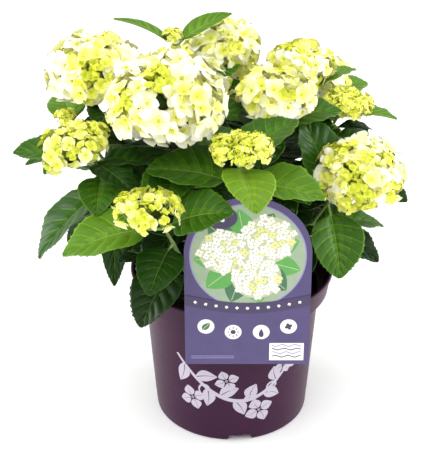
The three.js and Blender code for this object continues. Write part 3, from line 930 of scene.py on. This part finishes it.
def leafTemplate(ruling):
    # Half a blade is ruled by lines that run from the midrib to the margin along the side veins.
    # A corner has its share of the blade, how far it reaches to the margin, its side, its kind,
    # its place between two veins, and the share at which its line meets the margin.
    veins, offsets = ruling["veins"], ruling["rows"]
    lines = [((vein + offset) / veins, offset) for vein in range(veins) for offset in offsets]
    lines = [(0.0, 0.74)] + [line for line in lines if line[0] > 0.02] + [(0.985, 0.26)]
    columns = [0.0, *ruling["columns"]]
    rim = len(columns) - 1
    index, corners, faces, parts = {}, [], [], []

    def put(key, *corner):
        index[key] = len(corners)
        corners.append(corner)

    for j, (x, offset) in enumerate(lines):
        m = x**0.92
        e = min(m + 0.24 * sin(pi * min(m * 1.02, 1)) ** 0.75, 0.995)
        put((0, j, 0), m, 0.0, 0, "mid", offset, e)
        for side in (-1, 1):
            for c, s in enumerate(columns):
                kind = "blade" if c else "edge"
                put((side, j, c), m + (e - m) * s**1.45, s, side, kind, offset, e)
    put("tip", 1.0, 0.0, 0, "tip", 0.26, 1.0)

    def cornersOn(side, j):
        return [index[0, j, 0]] + [index[side, j, c] for c in range(rim + 1)]

    for j, (_, offset) in enumerate(lines):
        isLast = j == len(lines) - 1
        for side in (-1, 1):
            here = cornersOn(side, j)
            beyond = [index["tip"]] * len(here) if isLast else cornersOn(side, j + 1)
            for col in range(-1, rim):
                ring = (*here[col + 1 : col + 3], beyond[col + 2], beyond[col + 1])[: 4 - isLast]
                faces.append(ring if side < 0 else (ring[0], *ring[:0:-1]))
                # painted light: the blade is lighter next to the midrib as a painted highlight, and
                # darker towards the margin and in the far half of each cell between two veins as
                # painted shade, as if lit from one side
                depth = min(2, max(0, col - rim + 5) + (offset >= 0.5))
                part = ("Inner", "Middle", "Outer")[depth]
                if offset == offsets[0]:
                    part = "Vein" if col < rim - 3 else "Inner"
                if col == rim - 1 or isLast:
                    part = "Margin"
                parts.append("Midrib" if col < 0 else part)
    share, reach, side, kind, row, ends = (np.array(values) for values in zip(*corners))
    margin = [i for key, i in index.items() if key == "tip" or key[2] == rim]
    return {"share": share, "reach": reach, "side": side.astype(float), "kind": kind, "row": row,
            "ends": ends, "margin": margin, "faces": faces, "parts": parts}


template, innerTemplate = leafTemplate(blade), leafTemplate(innerBlade)


def addLeaf(batch, leaf, tones, dice, t):
    length, slim = leaf["length"], leaf.get("slim", 1)
    scale = length / blade["drawnFor"]
    calm = blade["calm"] if slim < blade["slimUnder"] else 1  # a slim young leaf has a smooth edge
    petiole = leafRule["petiole"]
    share = petiole + (1 - petiole) * t["share"]
    ends = petiole + (1 - petiole) * t["ends"]
    rib = blade["midrib"] * (1 - 0.75 * t["share"]) * scale
    lateral = t["side"] * t["reach"] * leafHalfWidth(ends, length) * slim
    lateral = np.where(t["kind"] == "edge", t["side"] * rib, lateral)
    offRib = t["side"] * np.maximum(np.abs(lateral), rib * 1.4)
    lateral = np.where(t["kind"] == "blade", offRib, lateral)
    # small teeth along the margin
    onMargin = t["reach"] >= 0.999
    isTooth = np.isin(t["row"], blade["toothRows"])
    bite = blade["tooth"] * calm * scale * np.where(isTooth, 1, -0.35)
    fade = np.clip(t["share"] * 6, 0, 1) * np.clip((1 - t["share"]) * 8, 0, 1)
    lateral = np.where(onMargin, lateral + t["side"] * bite * fade, lateral)
    share = np.where(onMargin & isTooth, share + blade["toothAhead"] * fade, share)
    # the blade rises between the side veins and sinks along them and the midrib
    between = np.sin(np.pi * np.clip((t["row"] - 0.045) / 0.91, 0, 1)) ** 0.8
    hump = np.sin(np.pi * np.clip(t["reach"] ** 0.8, 0, 1))
    above = blade["quilt"] * scale * between * hump
    above -= np.where(t["kind"] == "mid", blade["furrow"], 0) * scale
    phase, waves = dice() * 6.28, 2 + 2 * dice()
    sway = np.sin(phase + waves * 2 * np.pi * t["share"] + t["side"] * (1 + dice()))
    above += blade["undulation"] * calm * scale * sway * t["reach"] ** 2 * fade
    top = leafSurface(leaf["root"], leaf, share, lateral, above)
    under = leafSurface(leaf["root"], leaf, share, lateral * 0.999, above - blade["thickness"])
    # top and underside share the corners of the margin
    isMargin = np.zeros(len(top), bool)
    isMargin[t["margin"]] = True
    keep = np.flatnonzero(~isMargin)
    renumber = np.arange(len(top))
    renumber[keep] = len(top) + np.arange(len(keep))
    lower = [tuple(int(renumber[i]) for i in face[::-1]) for face in t["faces"]]
    finishes = [tones[part] for part in t["parts"]] + [tones["Under"]] * len(lower)
    addMesh(batch, np.concatenate([top, under[keep]]), list(t["faces"]) + lower, finishes)


# Hydrangea leaf, living: a soft satin cuticle over a quilted blade, with paler veins that lie in
# the furrows and a thin pale line along the toothed margin. The underside is matt and greyer.
leafTints = {
    "lime": "#7da528", "grass": "#65901f", "meadow": "#467215", "moss": "#305a0f",
    "forest": "#1f420a", "deep": "#142d08",
}
# the colour that each part of the blade leans to, and its share; the inner blade leans to a painted
# highlight, the middle and outer blade to painted shade
leafParts = {
    "Inner": ("#a3c750", 0.07), "Outer": ("#12300a", 0.32), "Midrib": ("#c6dc80", 0.44),
    "Margin": ("#b9d068", 0.1), "Vein": ("#b4d05a", 0.27), "Under": ("#b9c79a", 0.4),
    "Middle": ("#12300a", 0.11),
}
# the pale tints lime and grass take less of the outer blade's painted shade
outerShadeShareOfPale = 0.2
leafFinishes = []
for tintName, tint in leafTints.items():
    for part, (other, share) in leafParts.items():
        if part == "Outer" and tintName in ("lime", "grass"):
            share = outerShadeShareOfPale
        rough = {"Midrib": 0.5, "Under": 0.7}.get(part, 0.4)
        name, colour = tintName + part, blendHex(tint, other, share)
        leafFinishes.append(newFinish(name, colour, rough, ior=1.42, specular=0.22))
leafFinishes.append(newFinish("greenPetiole", "#8aa84e", 0.5))
petioleRadii = [2, 1.6, 1.5, 1.45, 1.35, 0.9]


def addSpray(batch, leaf, tint, dice, ruled):
    # a leaf on its petiole
    share, flat = np.linspace(0, leafRule["petiole"] + 0.035, len(petioleRadii)), np.zeros(6)
    centres = leafSurface(leaf["root"], leaf, share, flat, flat - 0.5)
    addTube(batch, centres, petioleRadii, 6, len(leafFinishes) - 1)
    tones = {part: tint * len(leafParts) + k for k, part in enumerate(leafParts)}
    addLeaf(batch, leaf, tones, dice, ruled)


def samplesOf(leaf):
    share = np.repeat([0.2, 0.35, 0.5, 0.65, 0.8, 0.93, 1.0], 5)
    across = np.tile([-1, -0.5, 0, 0.5, 1], 7)
    lateral = across * np.where(share < 1, leafHalfWidth(share, leaf["length"]), 0)
    return leafSurface(leaf["root"], leaf, share, lateral, np.zeros(len(share)))


# points already filled by leaves and heads, so that the leaves inside the crown find room
filledPoints = []
for shoot in shoots:
    for leaf in shoot["leaves"]:
        filledPoints.extend(samplesOf(leaf))
    width, height = shoot["size"]
    reach = np.array([width, width, height]) / 2
    for direction in domeDirections(60, -0.6):
        filledPoints.append(np.array(shoot["head"]) + direction * reach)

# where the leaves inside the crown grow, in mm, and how they are chosen
inner = {"step": 15, "highest": 14, "lowest": 168, "room": 6.5, "length": 80, "fullRoom": 12,
         "longFirst": 14, "swings": range(0, 360, 24), "tilts": (0, -16, 16),
         "shares": (1, 0.8, 0.62),
         "front": -72, "reach": 168, "top": 366, "frontSides": 135, "frontRight": (-20, 92),
         "overMix": 150, "overRim": 204, "rim": 119, "insideRim": 84}


def hasRoom(points):
    # clear of pot and mix, and not past the outer leaves, which also keeps them off the card
    x, y, z = points.T
    radius = np.hypot(x, y)
    inPot = (z < inner["overMix"]) & (radius < inner["rim"])
    inPot |= (z < inner["overRim"]) & (radius > inner["insideRim"])
    tooFar = (y < inner["front"]) | (radius > inner["reach"]) | (z > inner["top"])
    tooFar |= (y < 0) & (np.abs(x) > inner["frontSides"])
    tooFar |= (y < inner["frontRight"][0]) & (x > inner["frontRight"][1])
    return not np.any(inPot | tooFar)


def bestTurn(base, tree):
    # the longest leaf with the most room round it
    best = None
    for swing in inner["swings"]:
        for tilt in inner["tilts"]:
            for share in inner["shares"]:
                tried = nudged(base, swing, tilt, share)
                points = samplesOf(tried)
                if hasRoom(points):
                    room = min(tree.find(Vector(p))[2] for p in points[5:])
                    score = min(room, inner["fullRoom"]) + inner["longFirst"] * share
                    if room > inner["room"] and (best is None or score > best[0]):
                        best = (score, tried)
    return best and best[1]


dice = diceOf(5150)
innerLeaves = []
filledTree = treeOf(filledPoints)
for turnAbout in range(2):
    for shoot in shoots:
        drop = inner["highest"] + inner["step"] * (0.5 * turnAbout + dice())
        while shoot["curve"].below(drop)[2] > inner["lowest"]:
            root = shoot["curve"].below(drop)
            outward = degrees(atan2(root[1], root[0]))
            base = {"root": root, "bearing": outward + 360 * dice(), "pitch": 14 - 34 * dice(),
                    "roll": 24 * (dice() - 0.5), "length": inner["length"]}
            found = bestTurn(base, filledTree)
            if found:
                innerLeaves.append(found)
                filledPoints.extend(samplesOf(found))
                filledTree = treeOf(filledPoints)
            drop += inner["step"]
print("inner leaves", len(innerLeaves))

dice = diceOf(31337)
leafBatches = {"front": newBatch(), "back": newBatch(), "inner": newBatch()}
nodesOf = {"front": [], "back": [], "inner": []}
for shoot in shoots:
    nodesOf[shoot["view"]].append("foliage_" + shoot["name"])
    for leaf in shoot["leaves"]:
        # the tint paints shade together with age: leaves low down and deep inside the crown are
        # darker, where shade falls, and the young ones high and outside are paler
        x, y, z = samplesOf(leaf)[17]
        litAndYoung = (z - 200) / 190 + 0.25 * (np.hypot(x, y) / 150) - 0.28 + (dice() - 0.5) * 0.3
        tint = leaf.get("tint", int(np.clip(round(4.9 - 4.2 * litAndYoung), 0, 5)))
        look = shoot["looks"].get(leaf["key"], tint)
        tint, slim, trim = look if isinstance(look, tuple) else (look, 1, 1)
        leaf |= {"slim": slim, "length": leaf["length"] * trim}
        addSpray(leafBatches[shoot["view"]], leaf, tint, dice, template)
# painted shade: the leaves inside the crown take only the three darkest tints
for leaf in innerLeaves:
    addSpray(leafBatches["inner"], leaf, 3 + int(dice() * 3), dice, innerTemplate)
for side, batch in leafBatches.items():
    joinedPiece(batch, "leaves_" + side, leafFinishes, nodesOf[side])


def hydrangeaBark():
    # Two-year hydrangea cane: green under a thin tan bark, with short dark streaks and pale
    # raised pores about 1 mm long.
    material = newFinish("hydrangeaBark", "#6d7a44", 0.62)
    streaks = noiseOn(material, 500, 4, stretch=(1, 1, 0.25))
    streak(material, streaks, ("#55462c", 0.36), ("#7f8f50", 0.6))
    emboss(material, streaks, 0.5, 0.0006)
    return material


# a cane's knuckles are the scars of last year's leaves, a stem's are its leaf joints
stick = {"step": 5, "flare": 1.22, "scarSpacing": 31, "scarHalf": 2.6, "jointHalf": 3,
         "thinOver": 2.2}


def knuckleAt(gap, half):
    # 1 at the middle of a knuckle and nothing some mm away from it
    return exp(-((gap / half) ** 2))


def caneRadius(shoot, share, dice):
    foot, tip = growth["caneFoot"], growth["caneTip"]
    radius = foot + (tip - foot) * share / shoot["caneEnd"]
    radius *= stick["flare"] if share == 0 else 1
    gap = share * shoot["curve"].length % stick["scarSpacing"] - 15
    return radius * (0.94 + 0.2 * knuckleAt(gap, stick["scarHalf"]) + 0.05 * dice())


def stemRadius(shoot, share):
    walked = (1 - share) * shoot["curve"].length - shoot["drop"]
    along = min(1, stick["thinOver"] * ((share - shoot["caneEnd"]) / (1 - shoot["caneEnd"])))
    foot, tip = growth["caneTip"], growth["stemTip"]
    radius = foot + (tip - foot) * along
    gaps = [walked - growth["pairSpacing"] * k for k in range(4)]
    return radius * (0.96 + 0.28 * max(knuckleAt(gap, stick["jointHalf"]) for gap in gaps))


caneBatch, stemBatch = newBatch(), newBatch()
for shoot in shoots:
    curve, end = shoot["curve"], shoot["caneEnd"]
    dice = diceOf(900 + len(shoot["name"]) * 7 + int(abs(shoot["head"][0])))
    shares = np.linspace(0, end, max(10, int(curve.length * end / stick["step"])))
    radii = [caneRadius(shoot, share, dice) for share in shares]
    addTube(caneBatch, [curve.pointAt(share) for share in shares], radii, 9, 0)
    shares = np.linspace(end + growth["clearGap"] / curve.length, 1, 26)
    radii = [stemRadius(shoot, share) for share in shares]
    addTube(stemBatch, [curve.pointAt(share) for share in shares], radii, 8, 0)
caneNodes = ["cane_" + shoot["name"] for shoot in shoots]
joinedPiece(caneBatch, "canes", [hydrangeaBark()], caneNodes)
joinedPiece(stemBatch, "stems", [newFinish("greenStem", "#6f8842", 0.5)], [])
print("leaves, canes and stems ready")

# Showy sepals of a mophead: thin and satiny, lime while young, then lemon, cream and white. Light
# goes some millimetres through them.
petalTones = ["#bfca33", "#cfd640", "#dcdf52", "#e6e66e", "#eeed94", "#f3f2b8", "#f6f5d4",
              "#f8f8e8"]
translucent = {"Subsurface Weight": 0.7, "Subsurface Radius": (1.0, 1.0, 0.7),
               "Subsurface Scale": 0.009}
headFinishes = []
for number, colour in enumerate(petalTones):
    headFinishes.append(newFinish("sepalTone" + str(number), colour, 0.5, 1.4, **translucent))
    surfaceOf(headFinishes[-1]).subsurface_method = "BURLEY"
# headGlow is painted light: a pale core that stands for light passing through the sepals into the
# gaps of big heads; budShade and headShade are painted shade, in the cores of small heads and in
# gaps
for name, colour, rough in (("closedBud", "#d3d83f", 0.5), ("flowerRay", "#9db356", 0.55),
                            ("headGlow", "#c6cc6e", 0.8), ("budShade", "#76832c", 0.8)):
    headFinishes.append(newFinish(name, colour, rough))
headFinishes.append(newFinish("headShade", "#25330c", 0.9, specular=0.1))
budTone, rayTone, glowTone, shadeTone, gapShadowTone = range(8, 13)

# one sepal along +X: (share of its length, half width) of its rows, then its tip
sepalRows = [(0.06, 0.1), (0.34, 0.37), (0.62, 0.48), (0.86, 0.27)]
sepalColumns = [-1, -0.36, 0.36, 1]
sepalShare = np.array([t for t, half in sepalRows for c in sepalColumns] + [1.0])
sepalAcross = np.array([c * half for t, half in sepalRows for c in sepalColumns] + [0.0])
sepalFaces = [(a, a + 4, a + 5, a + 1) for a in (0, 1, 2, 4, 5, 6, 8, 9, 10)]
sepalFaces += [(12 + c, 16, 13 + c) for c in range(3)]
sepalRing = [row for row in range(4) for c in range(3)]
# from a sepal's foot to its tip, the tone goes from greener to paler, as real sepals do; the
# greener feet also paint the lime shade deep among the florets
ringShifts = (-1.8, -0.4, 0.5, 1.2)
beadPlaces = np.array([(0, 0, 1), (1, 0, 0), (0, 1, 0), (-1, 0, 0), (0, -1, 0), (0, 0, -1)], float)


def turnTo(normal, spin):
    # axes whose Z runs along normal, turned by spin about it
    z = unit(normal)
    x = unit(np.cross(np.array([0, 0, 1.0]) if abs(z[2]) < 0.9 else np.array([1.0, 0, 0]), z))
    y = np.cross(z, x)
    c, s = cos(spin), sin(spin)
    return np.stack([x * c + y * s, y * c - x * s, z])


def addBead(batch, middle, size, axes):
    addMesh(batch, (beadPlaces * size) @ axes + middle, beadFaces, budTone)


def addFloret(batch, centre, normal, size, age, dice):
    # four cupped sepals round a bead; age runs from 0, lime and half closed, to 1, white and flat
    axes = turnTo(normal, dice() * pi / 2)
    cup = 0.72 - 0.5 * age + 0.3 * (dice() - 0.5)
    for k in range(4):
        a = pi / 2 * k + 0.24 * (dice() - 0.5)
        length = size / 2 * (0.86 + 0.28 * dice())
        wide = 0.94 + 0.2 * dice()
        lean = cup + 0.36 * (dice() - 0.5)
        recurve = 0.15 + 0.5 * age * dice()
        twist = 0.9 * (dice() - 0.5)
        x = sepalShare * cos(lean)
        z = sepalShare * sin(lean) + 0.25 * (sepalAcross * 2) ** 2 * (0.3 + cup * 0.5)
        z = z - recurve * np.clip(sepalShare - 0.45, 0, 1) ** 2 * 1.6
        z = z + twist * sepalAcross * sepalShare
        flat = np.stack([x, sepalAcross * wide, z], axis=1) @ turnUpright(a).T
        tone = age * 6.6 + 0.7 * (dice() - 0.5)
        tones = [int(np.clip(round(tone + shift), 0, 7)) for shift in ringShifts]
        addMesh(batch, (flat * length) @ axes + centre, sepalFaces, [tones[r] for r in sepalRing])
    bead = 0.07 * size + 0.25
    addBead(batch, centre + axes[2] * bead * 0.5, bead, axes)


def addRay(batch, foot, tip, thick):
    way = tip - foot
    middle = foot + way * 0.55 + np.array([0, 0, -0.04]) * np.linalg.norm(way)
    radii = [thick, thick * 0.8, thick * 0.7]
    addTube(batch, [foot, middle, tip], radii, 3, rayTone, closeEnd=False)


# apart, cyme, least and most: mm between the cymes, radius of one, smallest and largest floret;
# close: how near florets stand; cover: how far down the dome goes; young and old: ages;
# rim: how much older a cyme's outer florets are; uneven: how the cymes stand out
bloomColumns = ("apart", "cyme", "least", "most", "close", "cover", "young", "old", "rim", "tries",
                "uneven", "filled", "inside")
bloomRows = {
    "open": (32, 20, 11, 31, 0.44, 118, 0.12, 1.0, 0.9, 64, 0.16, True, glowTone),
    "half": (26, 16, 9, 26, 0.43, 116, 0.1, 0.95, 1.0, 60, 0.2, True, glowTone),
    "opening": (20, 9.5, 8, 20, 0.5, 96, 0.06, 0.66, 0.9, 40, 0.34, False, shadeTone),
    "bud": (13, 8, 5, 10, 0.52, 84, 0.1, 0.62, 0.8, 34, 0.34, True, shadeTone),
}
# up in the picture of the camera's side
pictureUp = np.array([0, sin(radians(28)), cos(radians(28))])
cymeCover = 82
patchesBefore = 30


def tipped(places, tip):
    if not tip:
        return places
    spin, lean = turnUpright(radians(tip[0])), leanAside(radians(tip[1]))
    return places @ (spin @ lean @ spin.T).T


def patched(shoot, place, ripe):
    # the patches of younger or older florets, as the photograph's side shows them
    across, above = float(place[0]), float(place @ pictureUp)
    for u, v, radius, value in shoot["patches"]:
        near = hypot(across - u, above - v) / radius
        if near < 1 and place[1] < patchesBefore:
            ripe = value + (ripe - value) * near**3
    return ripe


def inHole(shoot, place):
    # a small gap between two cymes
    u, v, radius = shoot["hole"] or (0, 0, 0)
    across, above = (float(place[0]) - u) * 1.4, float(place @ pictureUp) - v
    return place[1] < 0 and hypot(across, above) < radius


def jitter(dice):
    return np.array([dice() - 0.5, dice() - 0.5, dice() - 0.5])


def takes(taken, place, size, close):
    # takes the place if it is far enough from the florets that already stand there
    if taken["places"]:
        gaps = np.linalg.norm(np.array(taken["places"]) - place, axis=1)
        if not np.all(gaps > close * (np.array(taken["sizes"]) + size) / 2):
            return False
    taken["places"].append(place)
    taken["sizes"].append(size)
    return True


def cymesOf(shoot, look, reach, radius, dice):
    # middle, facing, ripeness and axes of each cyme
    lowest = cos(radians(shoot["skirt"] or look["cover"]))
    area = 2 * pi * (1 - lowest) * reach[0] * (reach[0] + 2 * reach[2]) / 3
    cymes = []
    for direction in domeDirections(max(3, int(area / look["apart"] ** 2)), lowest):
        direction = unit(direction + jitter(dice) * 0.26)
        stand = 1.04 - look["uneven"] * dice()
        middle = direction * np.maximum(reach - 0.78 * radius - 0.1 * look["most"], 1) * stand
        facing = unit(direction / reach)
        ripe = shoot["ripe"] + 0.6 * (dice() - 0.5)
        cymes.append((middle, facing, ripe, turnTo(facing, dice() * 6.28)))
    return cymes


def floretsOf(shoot, look, cymes, radius, dice):
    # rank, size, ripeness, place, normal and cyme of every floret on offer, the largest first
    middles = np.array([cyme[0] for cyme in cymes])
    least, most = look["least"], look["most"]
    offered = []
    for at, (middle, facing, cymeRipe, axes) in enumerate(cymes):
        for local in domeDirections(look["tries"], cos(radians(cymeCover))):
            local = unit(local + jitter(dice) * 0.3)
            place = middle + (local * np.array([radius, radius, radius * 0.8])) @ axes
            gaps = np.linalg.norm(middles - place, axis=1)
            gaps[at] = 99
            if gaps.min() < 0.7 * radius:
                continue
            ripe = cymeRipe + look["rim"] * (0.62 - local[2]) + 0.16 * (dice() - 0.5)
            ripe = min(1, max(0, patched(shoot, tipped(place, shoot["tip"]), ripe)))
            size = least + (most - least) * ripe**0.9 * (0.86 + 0.28 * dice())
            normal = facing * 0.3 + (local @ axes) * 0.95
            normal = normal + (jitter(dice) + np.array([0, 0, 0.15])) * (1.35 - 0.35 * ripe)
            offered.append((size * (0.8 + 0.4 * dice()), size, ripe, place, normal, middle))
    return sorted(offered, key=lambda floret: -floret[0])


def addGap(rays, hole, head, reach):
    # a dark bead of painted shadow where the gap opens: the place on the dome that the camera's
    # side shows there
    u, v, radius = hole
    angles = [(a, b) for a in np.linspace(0.1, 2, 60) for b in np.linspace(-1, 1, 60)]
    spots = [np.array([sin(a) * sin(b), -sin(a) * cos(b), cos(a)])
             * (reach * 0.8) for a, b in angles]
    best = min(spots, key=lambda p: hypot(p[0] - u, float(p @ pictureUp) - v))
    bead = beadPlaces * np.array([radius * 1.4, radius * 0.7, radius * 1.5])
    addMesh(rays, bead + best + head, beadFaces, gapShadowTone)


def addCore(rays, head, reach, tip, tone):
    # the inside of the dome, in a painted tone: a pale glow in big heads, shade in small ones; six
    # rings of twelve corners
    rings, sides, share = 6, 12, 0.55 if reach[2] > 20 else 0.4
    places, faces = [(0, 0, reach[2] * share)], []
    for r in range(1, rings):
        a = pi * 0.68 * r / (rings - 1)
        for k in range(sides):
            b = 2 * pi * k / sides
            ring = np.array([sin(a) * cos(b), sin(a) * sin(b), cos(a)])
            places.append(ring * reach * share)
    for k in range(sides):
        n = (k + 1) % sides
        faces.append((0, 1 + k, 1 + n))
        for r in range(rings - 2):
            a, b = 1 + r * sides, 1 + (r + 1) * sides
            faces.append((a + k, b + k, b + n, a + n))
    faces.append(tuple(range(1 + (rings - 2) * sides, 1 + (rings - 1) * sides))[::-1])
    addMesh(rays, tipped(np.array(places), tip) + head, faces, tone)


def addHead(batch, rays, shoot, seed):
    # The head is a dome of cymes and each cyme a small dome of florets, young ones in its middle.
    curve, dice = shoot["curve"], diceOf(seed)
    look = dict(zip(bloomColumns, bloomRows[shoot["bloom"]]))
    for _ in range(3):
        dice()
    *shift, scale = shoot["fit"]
    width, height = (side * scale for side in shoot["size"])
    reach = np.array([width, width, height]) / 2
    radius = min(look["cyme"], 0.62 * reach[2] + 1.5)
    head, tip = np.array(shoot["head"], float) + np.array(shift), shoot["tip"]
    foot = curve.pointAt(0.995) - curve.headingAt(0.995) * min(10, height * 0.3)
    cymes = cymesOf(shoot, look, reach, radius, dice)
    for cyme in cymes:
        addRay(rays, foot, tipped(cyme[0], tip) + head, 0.9)
    upper, lower = {"places": [], "sizes": []}, {"places": [], "sizes": []}
    for _, size, ripe, place, normal, middle in floretsOf(shoot, look, cymes, radius, dice):
        normal = unit(tipped(normal, tip))
        age = look["young"] + (look["old"] - look["young"]) * ripe
        spot = tipped(place, tip) + head
        if inHole(shoot, tipped(place, tip)):
            continue
        if takes(upper, place, size, look["close"]):
            addFloret(batch, spot, normal, size, age, dice)
            addRay(rays, tipped(middle * 0.9, tip) + head, spot, 0.45)
        elif look["filled"] and takes(lower, place, size * 0.8, 0.6):
            # a younger floret below fills the gap between the upper ones
            spot = spot - normal * (0.22 * size + 1.5)
            addFloret(batch, spot, normal, size * 0.8, age * 0.8, dice)
        elif ripe < 0.5 and dice() < 0.35:
            addBead(batch, spot + normal * 0.05 * size, 0.6 + 0.09 * look["least"], np.eye(3))
    if shoot["hole"]:
        addGap(rays, shoot["hole"], head, reach)
    addCore(rays, head, reach, tip, look["inside"])


headBatches = {"front": newBatch(), "back": newBatch()}
rayBatch = newBatch()
for index, shoot in enumerate(shoots):
    addHead(headBatches[shoot["view"]], rayBatch, shoot, 7001 + 53 * index)
for side, batch in headBatches.items():
    joinedPiece(batch, "florets_" + side, headFinishes, nodesOf[side])
joinedPiece(rayBatch, "flower_rays", headFinishes, [])
print("flower heads ready")

meshes = [piece.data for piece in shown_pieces() if piece.type == "MESH"]
print("about", sum(len(mesh.loop_triangles) for mesh in meshes), "triangles")
